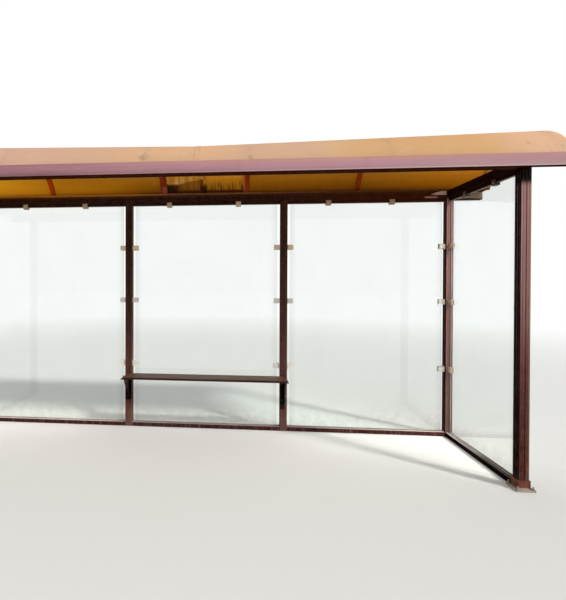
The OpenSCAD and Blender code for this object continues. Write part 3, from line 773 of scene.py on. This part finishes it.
class Kit:
    """Gathers small solids into one mesh."""

    def __init__(self):
        self.bm = bmesh.new()

    def block(self, low, high, soft):
        """A block with its edges rounded by soft."""
        low, high = Vector(low), Vector(high)
        made = bmesh.ops.create_cube(self.bm, size=1.0)["verts"]
        matrix = Matrix.Translation((low + high) / 2) @ Matrix.Diagonal((*(high - low), 1.0))
        bmesh.ops.transform(self.bm, matrix=matrix, verts=made)
        edges = list({e for v in made for e in v.link_edges})
        bmesh.ops.bevel(self.bm, geom=edges, offset=soft, segments=2, affect="EDGES", profile=0.7)

    def loft(self, loops):
        """Faces between closed loops of vertices, one after the other."""
        sides = len(loops[0])
        for a, b in zip(loops, loops[1:]):
            for i in range(sides):
                j = (i + 1) % sides
                self.bm.faces.new((a[i], a[j], b[j], b[i]))

    def lathe(self, matrix, rings, sides):
        """A turned solid from (radius, height) pairs along local Z, closed at both ends."""
        turns = [math.tau * i / sides for i in range(sides)]
        loops = []
        for radius, height in rings:
            places = [Vector((radius * math.cos(a), radius * math.sin(a), height)) for a in turns]
            loops.append([self.bm.verts.new(matrix @ place) for place in places])
        self.loft(loops)
        self.bm.faces.new(loops[0][::-1])
        self.bm.faces.new(loops[-1])

    def seat(self, place, outward):
        return Matrix.Translation(place) @ Vector(outward).to_track_quat("Z", "Y").to_matrix().to_4x4()

    def screw(self, place, outward, head, tall, washer):
        """Hexagon head with its washer, seated on a face."""
        m = self.seat(place, outward)
        self.lathe(m, [(washer, -SINK), (washer, 0.0010), (washer * 0.86, 0.0018)], 24)
        self.lathe(m, [(head, 0.0012), (head, tall), (head * 0.86, tall + 0.0010)], 6)

    def stud(self, place):
        """Anchor stud with its nut and washer, standing on a flange."""
        m = Matrix.Translation(place)
        washer, nut, thread, pitch, threads = 0.0135, 0.0085, 0.0050, 0.0018, 9
        self.lathe(m, [(washer, 0.0), (washer, 0.0018), (washer - 0.0007, 0.0024)], 28)
        wide = nut * 1.16
        self.lathe(m, [(nut * 1.08, 0.0020), (wide, 0.0032), (wide, 0.0092), (nut * 1.04, 0.0104)], 6)
        rings = []
        for i in range(threads):
            rings += [(thread, 0.0080 + i * pitch), (thread - 0.0006, 0.0089 + i * pitch)]
        self.lathe(m, rings + [(0.0036, 0.0250)], 16)

    def pan(self, place, outward, radius, tall):
        """Low round screw head."""
        rings = [(radius, -SINK), (radius, tall * 0.35), (radius * 0.86, tall * 0.8), (radius * 0.45, tall)]
        self.lathe(self.seat(place, outward), rings, 18)

    def finish(self, name, slot, smooth=40, material=None):
        bmesh.ops.recalc_face_normals(self.bm, faces=self.bm.faces)
        mesh = bpy.data.meshes.new(name)
        self.bm.to_mesh(mesh)
        self.bm.free()
        piece = bpy.data.objects.new(name, mesh)
        bpy.context.scene.collection.objects.link(piece)
        mesh.materials.append(material or FINISHES[slot])
        for face in mesh.polygons:
            face.use_smooth = True
        mesh.set_sharp_from_angle(angle=math.radians(smooth))
        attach(piece, "root")


# Screw heads as radius and height, hexagon bolts as radius, height and washer, in metres
SINK = 0.001
ROOF_HEAD = (0.0075, 0.0024)
EAVES_HEAD = (0.0045, 0.0028)
CLIP_HEAD = (0.0055, 0.003)
SEAT_HEAD = (0.0085, 0.0035)
SEAT_NUT = (0.0055, 0.005, 0.008)
BRACKET_BOLT = (0.0062, 0.0055, 0.0088)
UP = Vector((0.0, 0.0, 1.0))

# Roof: screws through the sheet into every rib
HEADS_A_SIDE, HEAD_STEP = 4, 13.5
RIB_NODES = ("end_rib_left", "roof_rib_outer_left", "roof_rib_inner_left",
             "roof_rib_inner_right", "roof_rib_outer_right", "end_rib_right")
kit = Kit()
for node in RIB_NODES:
    x = centre_of(node).x
    for step in range(-HEADS_A_SIDE, HEADS_A_SIDE + 1):
        # No head stands on the crown of the end ribs, the highest points of the roof
        if step == 0 and node.startswith("end"):
            continue
        angle = math.radians(step * HEAD_STEP)
        out = Vector((0.0, math.sin(angle), math.cos(angle)))
        kit.pan(Vector((x, 0.0, axis_z(x))) + out * ARCH_R, out, *ROOF_HEAD)
kit.finish("roof_screws", "fastener", material=ROOF_CAP)

# Eaves: an angle strip holds each long edge of the sheet down on the eaves plate
STRIP_STEPS, STRIP_END, STRIP_GAP = 44, 0.002, 0.0012
STRIP_THICK, STRIP_UP, STRIP_OUT = 0.002, 0.022, 0.020
EAVES_SCREWS, SCREW_END, SCREW_OUT = 14, 0.09, 0.012
for side, name in ((-1, "front"), (1, "rear")):
    kit = Kit()
    rows = []
    for i in range(STRIP_STEPS + 1):
        x = (2 * i / STRIP_STEPS - 1) * (GUTTER_X - STRIP_END)
        foot, top = arch_y(x, EAVES_Z) + STRIP_GAP, arch_y(x, EAVES_Z + STRIP_UP) + STRIP_GAP
        profile = [(foot, 0.0), (top, STRIP_UP), (top + STRIP_THICK, STRIP_UP),
                   (foot + STRIP_THICK, STRIP_THICK),
                   (foot + STRIP_OUT, STRIP_THICK), (foot + STRIP_OUT, 0.0)]
        rows.append([kit.bm.verts.new((x, side * y, EAVES_Z + z)) for y, z in profile])
    kit.loft(rows)
    kit.bm.faces.new(rows[0])
    kit.bm.faces.new(rows[-1][::-1])
    kit.finish("eaves_strip_" + name, "gutter_paint", 30)
    kit = Kit()
    for i in range(EAVES_SCREWS):
        x = (2 * i / (EAVES_SCREWS - 1) - 1) * (GUTTER_X - SCREW_END)
        kit.pan((x, side * (arch_y(x, EAVES_Z) + SCREW_OUT), EAVES_Z + STRIP_THICK), UP, *EAVES_HEAD)
    kit.finish("eaves_screws_" + name, "fastener")

# Glass: rubber on both sides of each pane's foot. It has a part in the channel, SEAL_THICK wide, and a
# lip that lies on the sill from LIP_IN to LIP_OUT off the pane
SEAL_THICK, SEAL_DEEP, SEAL_UP, SEAL_SHORT = 0.0019, 0.0085, 0.004, 0.002
LIP_IN, LIP_OUT, LIP_LOW, LIP_HIGH = 0.0004, 0.0056, 0.0002, 0.0032
SEAL_SOFT, LIP_SOFT = 0.0006, 0.0009
# Each pane's name and the axis along it, 0 for X and 1 for Y
PANES = (("rear_glass_left", 0), ("rear_glass_middle", 0), ("rear_glass_right", 0),
         ("side_glass_left", 1), ("side_glass_right", 1))


def face_of(low, high, across, side):
    return high[across] if side > 0 else low[across]


for node, along in PANES:
    low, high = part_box(node)
    across = 1 - along
    kit = Kit()
    for side in (-1, 1):
        face = face_of(low, high, across, side)
        a, b = Vector(low), Vector(high)
        a[along] += SEAL_SHORT
        b[along] -= SEAL_SHORT
        a[across], b[across] = sorted((face, face + side * SEAL_THICK))
        a.z, b.z = SILL_Z - SEAL_DEEP, SILL_Z + SEAL_UP
        kit.block(a, b, SEAL_SOFT)
        a[across], b[across] = sorted((face + side * LIP_IN, face + side * LIP_OUT))
        a.z, b.z = SILL_Z + LIP_LOW, SILL_Z + LIP_HIGH
        kit.block(a, b, LIP_SOFT)
    kit.finish(node.replace("glass", "seal"), "rubber_seal")


def clip_boxes(node):
    """Low and high corner of each clip in a node, read from the loose parts of its mesh."""
    bm = bmesh.new()
    bm.from_mesh(NODES[node].data)
    bmesh.ops.remove_doubles(bm, verts=bm.verts, dist=1e-6)
    seen, found = set(), []
    for start in bm.verts:
        if start.index in seen:
            continue
        heap, part = [start], []
        seen.add(start.index)
        while heap:
            v = heap.pop()
            part.append(v.co.copy())
            for edge in v.link_edges:
                w = edge.other_vert(v)
                if w.index not in seen:
                    seen.add(w.index)
                    heap.append(w)
        low = Vector([min(p[i] for p in part) for i in range(3)])
        high = Vector([max(p[i] for p in part) for i in range(3)])
        found.append((low, high))
    bm.free()
    return found


# Clips: a screw on each side, and a pad at the mouth that reaches from PAD_IN inside the clip's tip to
# PAD_PAST beyond it
PAD_THICK, PAD_IN, PAD_PAST, PAD_SHORT, PAD_SOFT = 0.0035, 0.010, 0.003, 0.002, 0.0008
SCREW_UP, SCREW_ALONG = 0.017, 0.74
for pane, along in PANES:
    node = pane.replace("glass", "clips")
    pane_low, pane_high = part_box(pane)
    across = 1 - along
    screws, pads = Kit(), Kit()
    for low, high in clip_boxes(node):
        for side in (-1, 1):
            out = Vector((0, 0, 0))
            out[across] = side
            at = (low + high) / 2
            at[across] = face_of(low, high, across, side)
            face = face_of(pane_low, pane_high, across, side)
            a, b = low.copy(), high.copy()
            a[across], b[across] = sorted((face, face + side * PAD_THICK))
            if high.z > pane_high.z:
                at.z = low.z + SCREW_UP
                a.z, b.z = low.z - PAD_PAST, low.z + PAD_IN
                a[along] += PAD_SHORT
                b[along] -= PAD_SHORT
            else:
                inward = 1 if pane_low[along] + pane_high[along] > low[along] + high[along] else -1
                root, tip = (low[along], high[along])[::inward]
                at[along] = root + (tip - root) * SCREW_ALONG
                a[along], b[along] = sorted((tip - inward * PAD_IN, tip + inward * PAD_PAST))
                a.z += PAD_SHORT
                b.z -= PAD_SHORT
            screws.pan(at, out, *CLIP_HEAD)
            pads.block(a, b, PAD_SOFT)
    screws.finish(node.replace("clips", "clip_screws"), "fastener", material=CLIP_CAP)
    pads.finish(node.replace("clips", "clip_pads"), "rubber_seal", material=CLIP_PAD)

# Feet: anchor studs, nuts and washers through the flange
FLANGE_TOP, STUD_IN = 0.012, 0.012
for name in ("left", "right"):
    low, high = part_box("post_foot_" + name)
    middle = (low + high) / 2
    off = (high.x - low.x) / 2 - STUD_IN
    kit = Kit()
    for dx in (-off, off):
        for dy in (-off, off):
            kit.stud((middle.x + dx, middle.y + dy, FLANGE_TOP))
    kit.finish("anchor_bolts_" + name, "fastener")

# Bench: bolts through the board, and through the brackets into the posts. A row is so far in from the
# board's front or back, or from the bracket's foot or top, and its bolts are so far off its middle
PLATE = 0.0064
BOARD_FRONT, BOARD_BACK, BOARD_OFF = 0.055, 0.050, 0.014
BRACKET_FOOT, BRACKET_TOP, BRACKET_OFF = 0.035, 0.060, 0.015
for name in ("left", "right"):
    low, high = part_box("bench_bracket_" + name)
    middle = (low + high) / 2
    kit = Kit()
    for y in (SEAT_LOW.y + BOARD_FRONT, SEAT_HIGH.y - BOARD_BACK):
        for dx in (-BOARD_OFF, BOARD_OFF):
            kit.pan((middle.x + dx, y, SEAT_HIGH.z), UP, *SEAT_HEAD)
            kit.screw((middle.x + dx, y, high.z - PLATE), -UP, *SEAT_NUT)
    for z in (low.z + BRACKET_FOOT, high.z - BRACKET_TOP):
        for dx in (-BRACKET_OFF, BRACKET_OFF):
            kit.screw((middle.x + dx, high.y - PLATE, z), (0, -1, 0), *BRACKET_BOLT)
    kit.finish("bench_bolts_" + name, "fastener", material=DARK_BOLT)

# Floor, which fades to white with distance, and light
FLOOR_HALF, FLOOR_Z, FADE = 60.0, -0.0005, (5.0, 17.0)
WHITE = (255, 255, 255)
SKY_TONE, SKY_STRENGTH = (0.90, 0.95, 1.0, 1.0), 0.34
corners = [(sx * FLOOR_HALF, sy * FLOOR_HALF, FLOOR_Z) for sx, sy in ((-1, -1), (1, -1), (1, 1), (-1, 1))]
floor_mesh = bpy.data.meshes.new("floor")
floor_mesh.from_pydata(corners, [], [(0, 1, 2, 3)])
floor = bpy.data.objects.new("floor", floor_mesh)
bpy.context.scene.collection.objects.link(floor)
t = Tree("floor")
length = t.new("ShaderNodeVectorMath", (t.place,), operation="LENGTH").outputs["Value"]
path = t.new("ShaderNodeLightPath").outputs
seen = t.add(path["Is Camera Ray"], path["Is Transmission Ray"], clamp=True)
ground = t.surface((216, 215, 212), 0.9, gloss=0.05)
white = t.new("ShaderNodeEmission", (WHITE,)).outputs[0]
floor_mesh.materials.append(t.done(t.both(t.times(t.rise(length, *FADE), seen), ground, white)))
floor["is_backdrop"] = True

world = bpy.data.worlds.new("studio")
bpy.context.scene.world = world
world.use_nodes = True
w = world.node_tree
w.nodes.clear()
path = w.nodes.new("ShaderNodeLightPath")
straight = w.nodes.new("ShaderNodeMath")
straight.use_clamp = True
w.links.new(path.outputs["Is Camera Ray"], straight.inputs[0])
w.links.new(path.outputs["Is Transmission Ray"], straight.inputs[1])
soft, bright = w.nodes.new("ShaderNodeBackground"), w.nodes.new("ShaderNodeBackground")
soft.inputs["Color"].default_value = SKY_TONE
soft.inputs["Strength"].default_value = SKY_STRENGTH
bright.inputs["Color"].default_value = shade(*WHITE)
mixed = w.nodes.new("ShaderNodeMixShader")
w.links.new(straight.outputs[0], mixed.inputs[0])
w.links.new(soft.outputs[0], mixed.inputs[1])
w.links.new(bright.outputs[0], mixed.inputs[2])
w.links.new(mixed.outputs[0], w.nodes.new("ShaderNodeOutputWorld").inputs["Surface"])


def sun(name, towards, strength, angle, colour=(1.0, 1.0, 1.0), mirrored=False):
    """A sun lamp. angle is its width in degrees, and only a mirrored one shows in glossy faces."""
    data = bpy.data.lights.new(name, "SUN")
    data.energy = strength
    data.angle = math.radians(angle)
    data.color = colour
    lamp = bpy.data.objects.new(name, data)
    lamp.rotation_mode = "QUATERNION"
    lamp.rotation_quaternion = Vector(towards).to_track_quat("Z", "Y")
    lamp.visible_glossy = mirrored
    lamp.visible_transmission = mirrored
    bpy.context.scene.collection.objects.link(lamp)


sun("key", (1.0, -0.72, 1.0), 2.7, 7.0, (1.0, 0.98, 0.95), True)
sun("fill", (-0.5, -1.0, 0.9), 0.35, 60.0)
sun("back", (-0.3, 1.0, 0.8), 0.45, 60.0)
sun("top", (0.0, 0.1, 1.0), 0.5, 60.0)

# Camera, at the place that the photograph was taken from
CAMERA_PLACE, CAMERA_LENS, CAMERA_SHIFT = (0.3372, -3.6798, 1.4682), 24.645, (0.1357, -0.0207)
yaw, pitch, roll = math.radians(-5.096), math.radians(-0.433), math.radians(0.159)
forward = Vector((math.sin(yaw) * math.cos(pitch), math.cos(yaw) * math.cos(pitch), math.sin(pitch)))
level = Vector((math.cos(yaw), -math.sin(yaw), 0.0))
above = level.cross(forward)
right = level * math.cos(roll) + above * math.sin(roll)
up = above * math.cos(roll) - level * math.sin(roll)
camera_data = bpy.data.cameras.new("camera")
camera_data.lens = CAMERA_LENS
camera_data.shift_x, camera_data.shift_y = CAMERA_SHIFT
camera = bpy.data.objects.new("camera", camera_data)
turn = Matrix((right, up, -forward)).transposed()
camera.matrix_world = Matrix.Translation(CAMERA_PLACE) @ turn.to_4x4()
bpy.context.scene.collection.objects.link(camera)
bpy.context.scene.camera = camera

bpy.context.scene.view_settings.view_transform = "Standard"

low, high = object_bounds()
